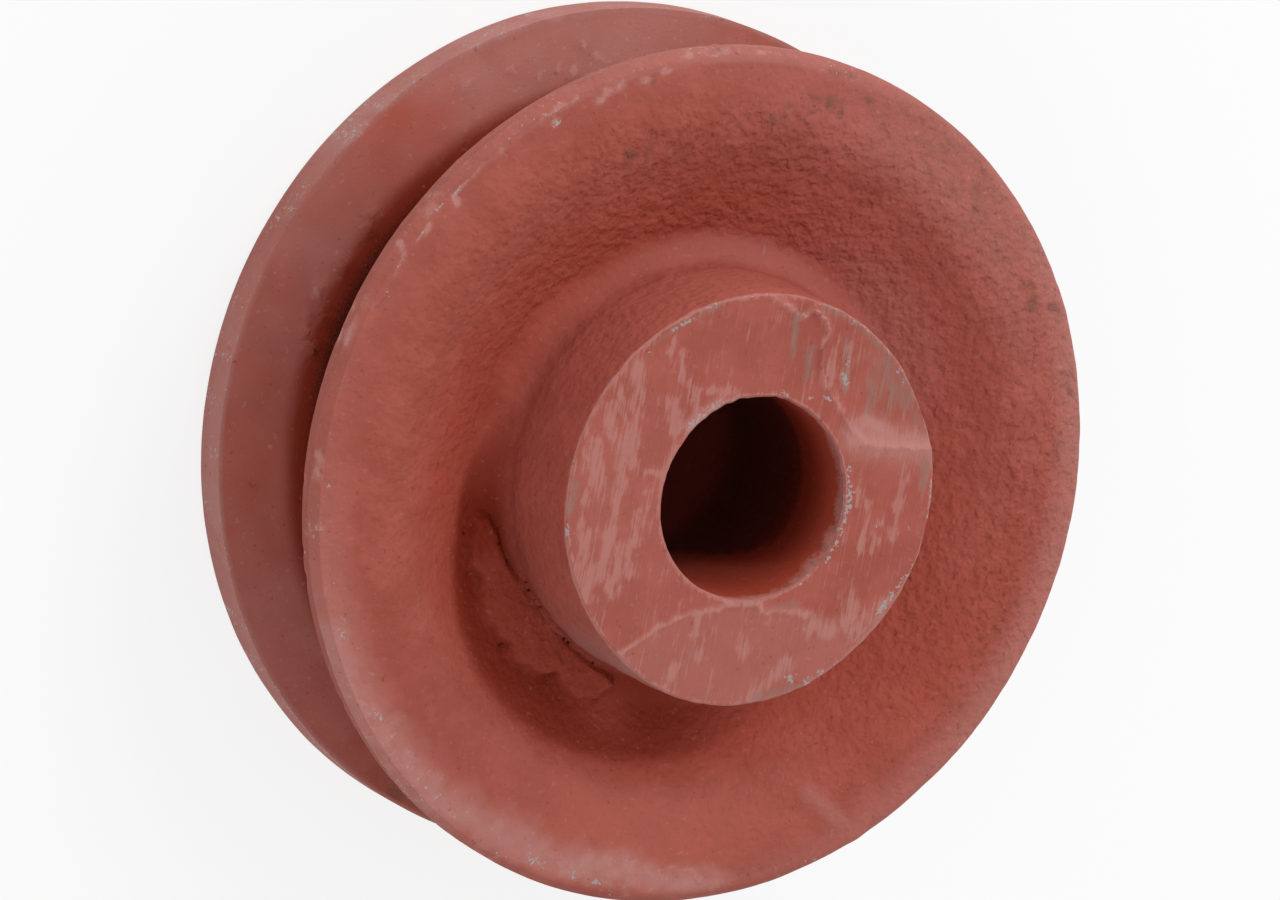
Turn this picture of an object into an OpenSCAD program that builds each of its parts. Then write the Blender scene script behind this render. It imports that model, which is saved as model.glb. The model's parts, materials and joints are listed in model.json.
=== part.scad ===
// Idler pulley for one V-belt: a single iron casting, turned on its bore.
// The bore axis is Z. The part lies on its back at Z = 0, and the long end of the hub points up.

/* [Rim] */
// Outside diameter of the rim
rim_d = 85; // [76:1:140]
// Width of the rim across both flanges
rim_w = 26.5; // [25:0.5:36]
// Round on the outer corner of the front flange
front_corner_r = 1.2; // [0.3:0.1:2.2]
// Round on the outer corner of the back flange
back_corner_r = 0.6; // [0.3:0.1:3]
// Flat that is left on the front flange, between its corner and the dish
flange_flat_w = 5.8; // [1:0.1:7]

/* [Belt groove] */
// Width of the groove at the outside diameter
groove_w = 19.4; // [14:0.2:20]
// Depth of the groove below the outside diameter
groove_depth = 16; // [10:0.5:17]
// Angle between the two flanks of the groove
groove_angle = 36; // [32:1:38]
// Round where the flanks meet the groove's floor
groove_floor_r = 1.5; // [0.5:0.1:2]
// How far the groove's middle lies in front of the rim's middle
groove_shift = 1.1; // [-1.2:0.1:1.2]

/* [Hub] */
// Diameter of the hub at its end faces
hub_d = 40; // [32:0.5:44]
// Height of the hub's end above the rim's front
hub_front_h = 8.5; // [3:0.5:24]
// Height of the hub's other end past the rim's back
hub_back_h = 0; // [0:0.5:12]
// Draft of the hub's cast side, in degrees
hub_draft = 3; // [1:0.5:5]
// Diameter of the shaft bore
bore_d = 20; // [12:0.5:25]

/* [Dished web] */
// Depth of the dish below the rim's front and back
dish_depth = 4.6; // [1.5:0.1:5]
// Largest radius with which the dish rolls off the flange
dish_roll_r = 9; // [4:0.5:14]
// Radius of the hollow where the dish runs up the hub
dish_hollow_r = 2.8; // [1.5:0.1:4]

/* [Casting scab] */
// Height of the lump of spare metal above the dish's floor
scab_h = 2; // [0.8:0.1:2.5]
// How far the lump reaches out from the hub's foot
scab_w = 4.8; // [2.5:0.1:5.5]
// Direction of the lump's middle, in degrees about the bore
scab_middle_deg = 220; // [0:1:359]
// Angle that the lump takes up round the hub
scab_span_deg = 62; // [20:1:90]

/* [Hidden] */
$fn = 128;
// Overlap that a cut runs past the face it opens
past = 1;
// Overlap with which a round crosses the straight that it runs into
nip = 0.005;

rim_r = rim_d / 2;
hub_r = hub_d / 2;
bore_r = bore_d / 2;
rim_back_z = hub_back_h;
rim_front_z = rim_back_z + rim_w;
hub_front_z = rim_front_z + hub_front_h;
web_mid_z = rim_back_z + rim_w / 2;
groove_mid_z = web_mid_z + groove_shift;
groove_floor_radius = rim_r - groove_depth;
flank = groove_angle / 2;

// Radius of the hub's drafted side at a height below its end face
function hub_side_r(below_end) = hub_r + below_end * tan(hub_draft);

// Each side of the web rolls off the flange, falls straight and meets a hollow round the hub's foot.
// A dish is drawn for a flange face at height 0, with the hub's end at end_h above it.
roll_start_r = rim_r - front_corner_r - flange_flat_w;
function hollow_centre(end_h) =
    let (z = dish_hollow_r - dish_depth)
    [hub_side_r(end_h - z) + dish_hollow_r / cos(hub_draft), z];
function dish_run(end_h) = roll_start_r - hollow_centre(end_h)[0];
// The roll is kept small enough to leave a straight fall between it and the hollow.
function roll_r(end_h) =
    let (run = dish_run(end_h), longest = (run * run / dish_depth + dish_depth) / 2 - dish_hollow_r)
    min(dish_roll_r, 0.9 * longest);
function roll_centre(end_h) = [roll_start_r, -roll_r(end_h)];
function dish_fall(end_h) =
    let (run = dish_run(end_h), radii = roll_r(end_h) + dish_hollow_r, rise = radii - dish_depth)
    atan2(run, rise) - acos(radii / norm([run, rise]));

// Section of the material that one dish takes away. It reaches into the hub, which is added after it.
module dish_section(end_h) {
    centre = hollow_centre(end_h);
    fall = dish_fall(end_h);
    square_to_fall = [-sin(fall), cos(fall)];
    difference() {
        union() {
            polygon([
                [hub_r - past, past],
                [roll_start_r, past],
                [roll_start_r, 0],
                roll_centre(end_h) + roll_r(end_h) * square_to_fall,
                centre - dish_hollow_r * square_to_fall,
                centre,
                [hub_r - past, centre[1]]
            ]);
            translate(centre) circle(dish_hollow_r + nip);
        }
        translate(roll_centre(end_h)) circle(roll_r(end_h) + nip);
    }
}

// Section of the corner that the rim's round takes away, for a corner at [rim_r, 0]
module corner_section(corner_r) {
    translate([rim_r - corner_r, -corner_r])
        difference() {
            square(corner_r + past);
            circle(corner_r);
        }
}

// Section of the belt groove: two straight flanks, a flat floor and a round in each corner
module groove_section() {
    floor_half_w = groove_w / 2 - groove_depth * tan(flank);
    round_at = [
        groove_floor_radius + groove_floor_r,
        floor_half_w - groove_floor_r * (1 / cos(flank) - tan(flank))
    ];
    flank_foot = round_at + groove_floor_r * [-sin(flank), cos(flank)];
    mouth = [rim_r + past, groove_w / 2 + past * tan(flank)];
    polygon([
        mouth,
        flank_foot,
        [groove_floor_radius, round_at[1]],
        [groove_floor_radius, -round_at[1]],
        [flank_foot[0], -flank_foot[1]],
        [mouth[0], -mouth[1]]
    ]);
    for (side = [-1, 1])
        translate([round_at[0], side * round_at[1]]) circle(groove_floor_r);
}

// Section of the hub, with draft from the middle of the web to each end
module hub_section() {
    polygon([
        [0, 0],
        [hub_r, 0],
        [hub_side_r(web_mid_z), web_mid_z],
        [hub_side_r(hub_front_z - web_mid_z), web_mid_z],
        [hub_r, hub_front_z],
        [0, hub_front_z]
    ]);
}

// Half section of the casting, before the bore
module casting_section() {
    difference() {
        translate([0, rim_back_z]) square([rim_r, rim_w]);
        translate([0, rim_front_z]) {
            dish_section(hub_front_h);
            corner_section(front_corner_r);
        }
        translate([0, rim_back_z]) mirror([0, 1]) {
            dish_section(hub_back_h);
            corner_section(back_corner_r);
        }
        translate([0, groove_mid_z]) groove_section();
    }
    hub_section();
}

// Crescent of spare metal that the mould left in the front dish, against the hub's foot.
// It is a low frustum set off-centre, so that it comes out of the foot and runs back into it.
module casting_scab() {
    floor_z = rim_front_z - dish_depth;
    foot_r = hub_side_r(hub_front_h + dish_depth);
    half_span_rise = foot_r * (1 - cos(scab_span_deg / 2));
    off_centre = (scab_w * scab_w + 2 * foot_r * scab_w) / (2 * (half_span_rise + scab_w));
    top_r = foot_r + scab_w - off_centre;
    rotate([0, 0, scab_middle_deg])
        translate([off_centre, 0, floor_z - past])
            cylinder(r1 = top_r + scab_h / 2, r2 = top_r, h = scab_h + past);
}

module pulley() {
    color("indianred")
        difference() {
            union() {
                rotate_extrude() casting_section();
                casting_scab();
            }
            translate([0, 0, -past]) cylinder(r = bore_r, h = hub_front_z + 2 * past);
        }
}

pulley();
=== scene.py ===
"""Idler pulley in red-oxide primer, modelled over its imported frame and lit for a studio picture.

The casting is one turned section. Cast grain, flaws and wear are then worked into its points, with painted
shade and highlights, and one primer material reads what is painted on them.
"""

import json
import math

import bpy
import numpy as np
from bpy.props import FloatProperty, FloatVectorProperty, IntProperty, PointerProperty
from mathutils import Matrix, Vector, noise


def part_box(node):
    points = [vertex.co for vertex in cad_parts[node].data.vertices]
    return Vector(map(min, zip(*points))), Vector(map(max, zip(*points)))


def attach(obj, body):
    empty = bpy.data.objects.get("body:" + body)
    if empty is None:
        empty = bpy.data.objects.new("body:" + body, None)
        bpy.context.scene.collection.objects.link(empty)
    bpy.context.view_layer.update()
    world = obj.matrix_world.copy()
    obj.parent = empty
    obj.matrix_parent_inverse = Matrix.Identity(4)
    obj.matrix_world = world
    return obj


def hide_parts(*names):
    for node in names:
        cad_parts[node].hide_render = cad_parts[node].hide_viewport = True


bl_info = {
    "name": "Primed Idler Pulley",
    "version": (1, 0, 0),
    "blender": (4, 5, 0),
    "location": "3D View > Sidebar > Pulley",
    "description": "Models a primed cast-iron V-belt idler pulley over its packed frame",
    "category": "Object",
}

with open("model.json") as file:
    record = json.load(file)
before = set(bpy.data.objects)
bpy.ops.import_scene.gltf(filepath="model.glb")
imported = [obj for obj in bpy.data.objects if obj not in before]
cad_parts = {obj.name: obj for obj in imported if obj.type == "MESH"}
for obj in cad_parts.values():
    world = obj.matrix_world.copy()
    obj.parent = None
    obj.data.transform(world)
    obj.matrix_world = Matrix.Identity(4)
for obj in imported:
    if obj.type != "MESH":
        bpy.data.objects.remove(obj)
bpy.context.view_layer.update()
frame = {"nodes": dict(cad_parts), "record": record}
NODE = "pulley"
MM = 0.001
# Points closer together than this are one point
SAME_POINT = 0.001 * MM
# Faces that meet at more than this keep a sharp edge between them
SHARP_ANGLE = math.radians(35)

# Stretches of the section, in the order that the half section is drawn
ZONES = (
    "front_land", "front_corner", "front_web", "hub_side", "hub_face", "bore",
    "back_hub_face", "back_hub_side", "back_web", "back_corner", "back_land",
    "back_flank", "groove_floor", "front_flank",
)
# Zones of the front flange that the picture shows
FRONT = ("front_web", "front_corner", "front_land")

# Heights on the casting in millimetres: the hub's end, the spare metal's top and the dish's top
HUB_END = 35.0
SCAB_TOP = 23.7
DISH_TOP = 26.0
# Distance from the bore's axis, in millimetres, at which the groove falls into shade
GROOVE_SHADE = 36.4

# Soft boxes: name, direction as right, up and back of the picture, distance and width in metres, watts
SOFT_BOXES = (
    ("soft_box_key", (0.69, 0.41, 0.59), 1.0, 0.5, 2.4),
    ("soft_box_high", (0.6, 0.8, 0.2), 1.0, 0.5, 2.5),
)
ROOM_LIGHT = 0.78
# Width of the camera's sensor in millimetres, and of the paper floor in metres
SENSOR_WIDTH = 36
FLOOR_SIZE = 6
# Distances from the bore between which the paper's shadow gives way to plain white
SHADOW_END = (30 * MM, 40 * MM)

# What is painted on the casting's points, each from 0 to 1: wear, stains and dust, and also painted shade
# and painted highlights
PAINTS = ("worn", "bare", "stain", "fresh", "sheltered", "grain", "ground", "pit", "scuffed", "film")

# Paths over the front, as (degrees round the bore, millimetres from it)
SCAB_INNER = (
    (189, 22.6), (192, 22.3), (196, 21.7), (204.6, 21.5), (211, 20.9), (219.7, 20.8), (226.4, 20.7),
    (232.8, 20.9), (240, 21.1), (249, 21.4), (253, 22),
)
SCAB_OUTER = (
    (189, 24.2), (192.3, 24.5), (197.4, 25.1), (200.7, 25.4), (205.2, 24.6), (210, 25.7), (214.8, 25.9),
    (218.4, 25.8), (222.5, 25.4), (225.3, 26), (229.8, 25.5), (233.4, 25.2), (236.4, 24.1), (239.8, 24.9),
    (244, 25.2), (248.5, 24.5), (250.6, 23.5), (253, 22.2),
)
TROUGH_EDGE = (
    (150, 21.3), (160, 22.2), (170, 23.2), (180, 24.6), (191, 26.2), (201.5, 27.8), (211, 29.2),
    (220, 30), (240, 30.4), (260, 29.6), (275, 28.8), (285, 27.8), (295, 26.8), (305, 26),
)
LOW_RIDGE = (
    (229.5, 20), (232.4, 18), (233.8, 16.1), (239.3, 13.7), (246, 12.3), (257, 11.2), (270, 10.5),
    (280.8, 10.7), (285, 11.6), (294, 12.4), (304.8, 14),
)
CURL_RIDGE = (
    (90, 19.9), (83.9, 18.8), (79.6, 18.2), (74.8, 19.1), (70.4, 18.5), (67.9, 17.6), (68.5, 16.3),
    (65.6, 14.5), (59.6, 13.2), (50.8, 12.6), (42, 12.2), (31.6, 12.2), (23.8, 13.1), (18.4, 15.8),
    (14.2, 19.9),
)
RUBBED_RIM = (
    (200, 42.3), (212, 41.9), (224, 41.3), (232, 40.9), (238, 40.2), (244, 39.6), (250, 40.2),
    (257, 39.6), (263, 39.3), (268, 40.3), (277, 41.8),
)
RIM_SCRATCH = ((276.6, 41.3), (275, 40), (273, 39.3), (269.5, 38.6))
PRIMER_RUN = ((294.6, 34.7), (300, 42))

# Strokes over the hub's end, as (x, y, x, y, half width) in millimetres from the bore's axis
PALE_STROKES = (
    (-13.9, 13, -13.4, 9, 0.55), (-13.3, 9.5, -13.4, 3.5, 0.45), (-14.5, 7, -14.6, -2, 0.5),
    (-16.2, 9, -16, 6, 0.6), (-17.4, 5.2, -16.9, 1.8, 0.75), (-18.6, 4.9, -18.3, 4, 0.4),
    (-15.4, 10.4, -14.8, 7.5, 0.35), (-14.9, -2.5, -15.7, -8, 0.55), (-13.5, -4.5, -14.3, -9.3, 0.5),
    (-17.4, -3.5, -17.8, -9.5, 0.6), (-16.3, -6.5, -16.9, -10, 0.45), (-12.2, -1, -12.9, -7.5, 0.3),
    (-11.3, 0.5, -12, -4.5, 0.25), (-18, 1, -18.4, -4.5, 0.25), (-9.6, 9.2, -8.9, 6.8, 0.7),
    (-7.6, 10.2, -7, 8, 0.5), (-7.2, 10.5, -3, 10.5, 0.3), (-9.1, 14.2, -9, 11.8, 0.3),
    (-8.2, 11.3, -7.8, 11, 0.35), (-10.4, 15.5, -10.4, 14.3, 0.25), (-11.7, 2.6, -10.3, 2.6, 0.25),
    (-6.6, -16.6, -6.3, -17.4, 0.5), (-4.7, -11.6, -4.6, -13.4, 0.4), (-7.2, -18.5, -6.6, -18.8, 0.35),
    (-4, -15, -3.8, -15.6, 0.35), (0.8, -14.4, 1, -15, 0.5), (16.9, 3, 15.9, -4, 0.35),
    (11.9, 0.6, 11.8, -0.8, 0.25), (13.2, -0.5, 12.6, -5.5, 0.3), (14.3, -2.5, 13.8, -5.5, 0.3),
    (12.3, -10.4, 12.2, -12.4, 0.8), (8, -12.6, 10.5, -13.2, 0.7), (13, -13.4, 16.2, -10.2, 0.6),
    (5.4, -16.2, 2.4, -19.4, 0.55), (9.1, 15, 9, 11, 0.3), (7.6, 14.5, 7.5, 11.5, 0.4),
    (10.5, 6.4, 15, 5.8, 1), (15, 5.6, 19.3, 5.2, 0.8), (12, 7.4, 13.5, 6.8, 0.6),
)
GREY_STROKES = (
    (2.8, 18, 2.9, 14, 0.4), (4.8, 14.8, 4.7, 12, 0.45), (13.3, 13.6, 14.2, 11.5, 0.7),
    (14, 12, 15.6, 9.6, 0.8), (13.8, 14.2, 17.2, 9.2, 0.5), (6, 18.8, 10, 17.2, 0.45),
    (10, 17.2, 13.8, 14.3, 0.55), (12, 11.5, 12.2, 8.5, 0.4), (16.8, 9, 17.6, 7.5, 0.5),
    (8.9, 15.5, 9.1, 10.5, 0.3), (3, -19.3, 9, -18, 0.45), (4, -10.8, 6, -10.6, 0.4),
    (-10.6, 16.3, -5.5, 19.2, 0.3), (-12.4, 15, -10.6, 16.3, 0.25), (-19.4, 1.6, -19.4, -1.2, 0.4),
    (18.7, 4, 18.8, 1, 0.3),
)
BARE_STROKES = (
    (10.4, 3, 10.8, 0.4, 0.25), (10.8, 0.4, 10.2, -3.4, 0.3), (10.2, -3.4, 8.9, -6.4, 0.3),
    (-7.6, 7.2, -4.8, 9.2, 0.25), (-9.4, 3.9, -9.3, 3.5, 0.2), (2, 10.4, 2.8, 10, 0.25),
    (5.1, 9.8, 5.4, 9.7, 0.25), (6.8, 10, 7.4, 9.7, 0.25), (9, 12.3, 9.1, 11.3, 0.25),
    (9.2, 13.8, 9.2, 13.2, 0.2), (6.1, -17.5, 6.3, -17.7, 0.35), (7.9, -18, 8.5, -18.3, 0.45),
    (9.3, -17, 9.7, -17.3, 0.35), (17.6, -8, 15.4, -11.5, 0.3), (18.9, -6.6, 18.3, -7.8, 0.25),
    (14.2, -2.9, 14.3, -3, 0.2), (17.6, -3, 17.7, -3.1, 0.2), (18.8, -3.9, 18.9, -4, 0.22),
    (19.8, 1.8, 19.7, -2.2, 0.2), (-19.6, -2.6, -19.7, -3.6, 0.25), (-12.8, 14.4, -12.7, 14.4, 0.2),
    (15.1, 12.6, 15.3, 12.4, 0.25), (15.5, 11.5, 15.6, 11.4, 0.25), (9.3, 17.1, 9.5, 17, 0.25),
    (-10.4, 16.4, -6, 19, 0.2), (6.4, -8.4, 6.5, -8.6, 0.25),
)
PALE_BAND = ((10.8, 5.8, 19.4, 4.7, 1.2), (12, 7.4, 14, 6.6, 0.8))
CHIPPED_BORE = ((-7.8, 7, -4.4, 9.5, 0.45),)
# Dark strokes: painted shade along creases on the hub's end
DARK_STROKES = (
    (6, 15, 6, 13.2, 0.2), (6, 13.2, 7.8, 10, 0.2), (2.6, 18.1, 4.4, 18.2, 0.3),
    (9, 8.3, 10.6, 6.2, 0.18),
)

# Bevel of the front corner on the left, as (share of the corner's turn, radius and height in millimetres)
BEVEL = ((0, 42.5, 25.3), (1 / 3, 42.5, 25.75), (2 / 3, 41.8, 26.5), (1, 41.3, 26.5))

# Spots, as (degrees, millimetres from the bore's axis, size in millimetres)
SCAB_PITS = (
    (194.4, 24.9, 0.2), (198.4, 22, 0.25), (204.2, 21.6, 0.2), (211.4, 20.8, 0.16), (214.3, 20.9, 0.2),
    (217.2, 20.8, 0.16), (220.3, 20.8, 0.2), (232.5, 21, 0.22), (234.1, 21, 0.2), (244.3, 21.2, 0.18),
    (221.7, 25.7, 0.28),
)
FACE_STAINS = (
    (84, 36, 1.8), (76, 38, 2), (68, 39.5, 1.8), (62, 40.6, 1.5), (50, 40.8, 1.3), (45, 38, 1.8),
    (38, 40.8, 1.3), (28, 38.5, 2), (24, 40.8, 1.3), (14, 41, 1.6), (5, 39, 1.4), (110, 34, 1.6),
)
BACK_LAND_CHIPS = ((136, 4, 0.55), (131, 3, 0.4), (113, 6, 0.45), (104, 3, 0.4), (190, 4, 0.3))
FLANK_PITS = (
    (143.5, 36.6, 0.7), (145.2, 36.1, 0.6), (152, 36.1, 0.8), (157.5, 36.9, 0.7), (160.5, 35.9, 0.9),
    (163.5, 36.5, 0.9), (166, 35.6, 0.9),
)

# Pale clouds round the groove's back flank, as (amount, degrees, spread in degrees)
FLANK_CLOUDS = (
    (0.42, 95, 15), (0.4, 118, 11), (0.22, 150, 8), (0.12, 172, 22), (0.2, 212, 12), (-0.15, 240, 14),
)

# Marks round the bore, as (degrees, millimetres from its axis, degrees, millimetres, half width)
RIM_PALE = (
    (122.4, 41.5, 120.4, 40.5, 0.25), (121.5, 41.6, 116.6, 41.7, 0.22), (113.8, 40.8, 109.8, 41, 0.5),
    (107.4, 40.9, 106, 40.7, 0.3), (103.4, 41, 102.6, 41, 0.25), (100, 42.2, 93, 42.2, 0.2),
    (91.5, 42, 88, 42.1, 0.28), (162, 42.4, 160.3, 42.4, 0.3), (159.5, 42.3, 157, 42.3, 0.3),
    (150.3, 41.2, 148.5, 41.6, 0.3), (148.5, 41.6, 147.2, 42.1, 0.25), (145.4, 41.3, 143.2, 41.4, 0.28),
    (142.4, 42, 139.6, 41.8, 0.45), (138.8, 41.3, 135.2, 41.4, 0.25), (138.6, 40.9, 138.2, 40.2, 0.32),
    (134.2, 41.4, 131.6, 41.5, 0.2), (180, 42, 176, 42.2, 0.2), (187.2, 42.3, 187.1, 41.5, 0.25),
    (213.4, 41.5, 208, 41.5, 0.18), (129.4, 41.3, 128.8, 41.3, 0.3),
)
RIM_GREY = (
    (156.4, 41.3, 152.4, 40.9, 0.28), (105.9, 40.5, 105.1, 40.3, 0.35), (96, 42.3, 93.5, 42.3, 0.22),
    (195, 40.9, 192.5, 40.9, 0.25), (191.4, 40.7, 190.8, 40.7, 0.3), (216, 41.5, 214, 41.6, 0.25),
    (78, 41.3, 73, 41.8, 0.4), (285, 40.8, 281, 40.7, 0.35),
)
RIM_BARE = (
    (120.6, 40.3, 120, 40.3, 0.3), (215, 40.6, 214.4, 40.6, 0.32), (202, 41.1, 201.2, 41.1, 0.22),
    (200.6, 41.1, 199.6, 41.1, 0.22), (199.7, 40.3, 199.3, 40.3, 0.25), (181.2, 41.1, 180.4, 41.1, 0.28),
    (230.2, 40.8, 229.6, 40.8, 0.3), (227.9, 41, 227.4, 41, 0.28), (258.9, 40.9, 258.3, 40.9, 0.28),
    (255.4, 41, 254.6, 40.7, 0.35), (250.3, 40.7, 249.7, 40.7, 0.28), (248.3, 40.7, 247.7, 40.7, 0.3),
    (150, 41.4, 149.2, 41.5, 0.22), (138.4, 41.3, 136.6, 41.4, 0.22), (140.8, 41.7, 140, 41.6, 0.25),
)
FLANK_PALE = (
    (120, 40.5, 119.2, 40.3, 0.6), (114.2, 41, 113.8, 41, 0.35), (113, 39.6, 112.4, 39.2, 0.28),
    (110.2, 37.7, 108.6, 38.1, 0.4), (108.6, 38.1, 105, 38.4, 0.4), (105.3, 37.6, 104.7, 37.5, 0.35),
    (103.7, 37.6, 103.1, 37.5, 0.35), (101.8, 40.5, 100.5, 39.4, 0.22), (100.5, 39.4, 97.2, 37.6, 0.25),
    (129, 36.4, 128.4, 36.3, 0.32), (131.1, 36, 130.5, 35.8, 0.32), (127.2, 37.9, 126.8, 37.9, 0.28),
    (126, 37.9, 125.6, 37.9, 0.28), (123.8, 36.3, 122, 36.5, 0.28), (121, 36.5, 120, 36.6, 0.3),
    (115.8, 36.4, 115.2, 36.3, 0.35), (163.8, 37.1, 162.8, 37.2, 0.28), (161.8, 37.3, 161.1, 37.3, 0.3),
    (158.8, 37.1, 157.2, 37.2, 0.3), (166.7, 35.8, 165.7, 35.7, 0.35), (168, 36.2, 167.2, 36, 0.3),
    (152.1, 36.5, 151.5, 36.4, 0.3), (155.2, 36.3, 152.7, 36.1, 0.25), (181.8, 37.9, 180.4, 37.9, 0.22),
)
FLANK_DARK = (
    (165.6, 36.7, 162, 36.6, 0.28), (125.6, 35.4, 124.9, 35.3, 0.4), (148.4, 35.8, 147.5, 35.7, 0.35),
    (105.3, 37.2, 104.5, 37, 0.3), (110.5, 39.8, 109.8, 39.6, 0.35),
)


def mount(name):
    """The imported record's mount of that name."""
    return next(m for m in frame["record"]["mounts"] if m["name"] == name)


def frame_rim_radius():
    """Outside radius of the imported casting."""
    return max(math.hypot(v.co.x, v.co.y) for v in frame["nodes"][NODE].data.vertices)


BORE = mount("bore")["dims"]
FRAME_LOW, FRAME_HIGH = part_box(NODE)


def length(name, description, default):
    """A property for a size, in metres."""
    return FloatProperty(name=name, description=description, default=default, unit="LENGTH", precision=5)


def angle(name, description, degrees):
    """A property for an angle, given in degrees."""
    return FloatProperty(
        name=name, description=description, default=math.radians(degrees), subtype="ANGLE"
    )


def colour(name, description, default):
    """A property for a linear colour."""
    return FloatVectorProperty(name=name, description=description, default=default, subtype="COLOR", size=3)


class PulleySection(bpy.types.PropertyGroup):
    """Sizes of the casting's half section."""

    rim_r: length("Rim radius", "Outside radius of both flanges", frame_rim_radius())
    rim_w: length("Rim width", "Width across both flanges", 26.5 * MM)
    front_corner_r: length("Front corner round", "Round on the outer corner of the front flange", 1.2 * MM)
    back_corner_r: length("Back corner round", "Round on the outer corner of the back flange", 0.6 * MM)
    flat_w: length("Flange flat", "Flat between the front flange's corner and its dish", 5.8 * MM)
    groove_w: length("Groove width", "Width of the belt groove at the outside radius", 19.4 * MM)
    groove_depth: length("Groove depth", "Depth of the belt groove", 16.0 * MM)
    groove_round: length("Groove round", "Round at the foot of each flank", 1.5 * MM)
    groove_mid_z: length("Groove height", "Height of the groove's middle", mount("belt_groove")["pos_m"][2])
    groove_angle: angle("Groove angle", "Angle between the flanks", 36)
    hub_r: length("Hub radius", "Radius of the hub at its ends", 20.0 * MM)
    hub_top_z: length("Hub height", "Height of the hub's long end", FRAME_HIGH.z)
    hub_draft: angle("Hub draft", "Draft of the hub's cast side", 3)
    bore_r: length("Bore radius", "Radius of the shaft bore", BORE["r_mm"] * MM)
    dish_depth: length("Dish depth", "Depth of the dish below the flange", 4.6 * MM)
    roll_r: length("Roll radius", "Radius with which the dish rolls off the flange", 9.0 * MM)
    broken_edge: length("Broken edge", "Edge taken off the hub and the bore by handling", 0.2 * MM)
    hollow_r: length("Hollow radius", "Radius where the dish runs up the hub", 2.8 * MM)
    turn_steps: IntProperty(name="Turn steps", description="Steps of the section's turn", default=432)


class PrimerFinish(bpy.types.PropertyGroup):
    """Colours of the primer and of what shows through it."""

    primer: colour("Primer", "Sound red-oxide primer", (0.376, 0.091, 0.067))
    primer_dark: colour("Dark primer", "Primer in the darker clouds", (0.328, 0.074, 0.052))
    # Painted shade: a dark red laid where shade falls, in hollows, creases, the trough, the bore and the
    # groove
    sheltered: colour("Sheltered primer", "Primer in hollows, never rubbed", (0.2, 0.021, 0.008))
    # A redder, more saturated primer tone in the dish's hollow, on the hub's side, in the bore, on the
    # groove's flank and on the lower face
    fresh: colour("Fresh primer", "Clean primer in hollows", (0.47, 0.075, 0.042))
    # Pale pink for dust and rubbed primer, and for painted highlights
    pale_tint: colour("Dusty primer", "Primer that is rubbed pale", (0.466, 0.209, 0.183))
    bare: colour("Bare iron", "Iron where the primer is gone", (0.40, 0.36, 0.35))
    scuffed: colour("Scuffed primer", "Primer that is ground thin and grey", (0.27, 0.155, 0.13))
    # Grey-brown for real stains, and for painted shade on the bottom edge of the front rim
    stain: colour("Stain", "Grey-brown stain in the primer", (0.13, 0.06, 0.042))
    # Near black: painted deep shade at the bottom of pits and cracks and deep in the bore and the groove
    pit: colour("Pit", "Bottom of a pit in the casting", (0.035, 0.005, 0.003))
    grain_size: length("Grain size", "Size of the sand-cast grain", 0.85 * MM)
    relief: length("Relief", "Height of the finest grain and scratches", 0.6 * MM)
    stroke_turn: angle("Stroke turn", "Lean of the grinding strokes on the hub's end", -6)


class StudioView(bpy.types.PropertyGroup):
    """Camera and light."""

    off_axis: angle("Angle off axis", "Angle between the line of sight and the bore", 30.22)
    axis_fall: angle("Axis fall", "How far the bore's axis points below the picture's right", 24.6)
    aim: FloatVectorProperty(
        name="Aim", description="Point in the middle of the picture", subtype="XYZ", size=3, unit="LENGTH",
        default=(-7.24 * MM, 2.57 * MM, 24.9 * MM),
    )
    distance: length("Distance", "Distance from the camera to the aim", 774.1 * MM)
    lens: FloatProperty(name="Lens", description="Focal length in millimetres", default=225.0)


def straight(start, end, step):
    """Points of a straight stretch, both ends included, about one step apart."""
    count = max(1, round(math.dist(start, end) / step))
    return [tuple(a + (b - a) * i / count for a, b in zip(start, end)) for i in range(count + 1)]


def arc(centre, radius, start, end, step):
    """Points of an arc between two angles, both ends included, about one step apart."""
    count = max(2, round(radius * abs(end - start) / step))
    turns = [start + (end - start) * i / count for i in range(count + 1)]
    return [(centre[0] + radius * math.cos(t), centre[1] + radius * math.sin(t)) for t in turns]


def flange_side(size, corner_r, end_h, fine):
    """Stretches from a flange's corner to the bore, for a flange face at height 0 and a hub end at end_h.

    fine is the factor by which the points lie closer together than on a hidden side.
    """
    draft = size.hub_draft
    hollow_z = size.hollow_r - size.dish_depth
    foot_r = size.hub_r + (end_h - hollow_z) * math.tan(draft)
    hollow = (foot_r + size.hollow_r / math.cos(draft), hollow_z)
    roll_start = size.rim_r - size.front_corner_r - size.flat_w
    run = roll_start - hollow[0]
    radii = size.roll_r + size.hollow_r
    rise = radii - size.dish_depth
    fall = math.atan2(run, rise) - math.acos(radii / math.hypot(run, rise))
    quarter = math.pi / 2
    corner = (size.rim_r - corner_r, -corner_r)
    step = 0.95 * MM / fine
    roll = arc((roll_start, -size.roll_r), size.roll_r, quarter, quarter + fall, step)
    foot = arc(hollow, size.hollow_r, fall - quarter, draft - math.pi, 0.85 * step)
    return {
        "corner": arc(corner, corner_r, 0, quarter, 0.31 * MM),
        "web": straight((corner[0], 0), roll[0], step) + roll + straight(roll[-1], foot[0], step) + foot,
        "hub_side": straight(foot[-1], (size.hub_r, end_h - size.broken_edge), 1.6 * step),
        "hub_face": straight(
            (size.hub_r - size.broken_edge, end_h), (size.bore_r + size.broken_edge, end_h), 1.05 * step
        ),
    }


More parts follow.
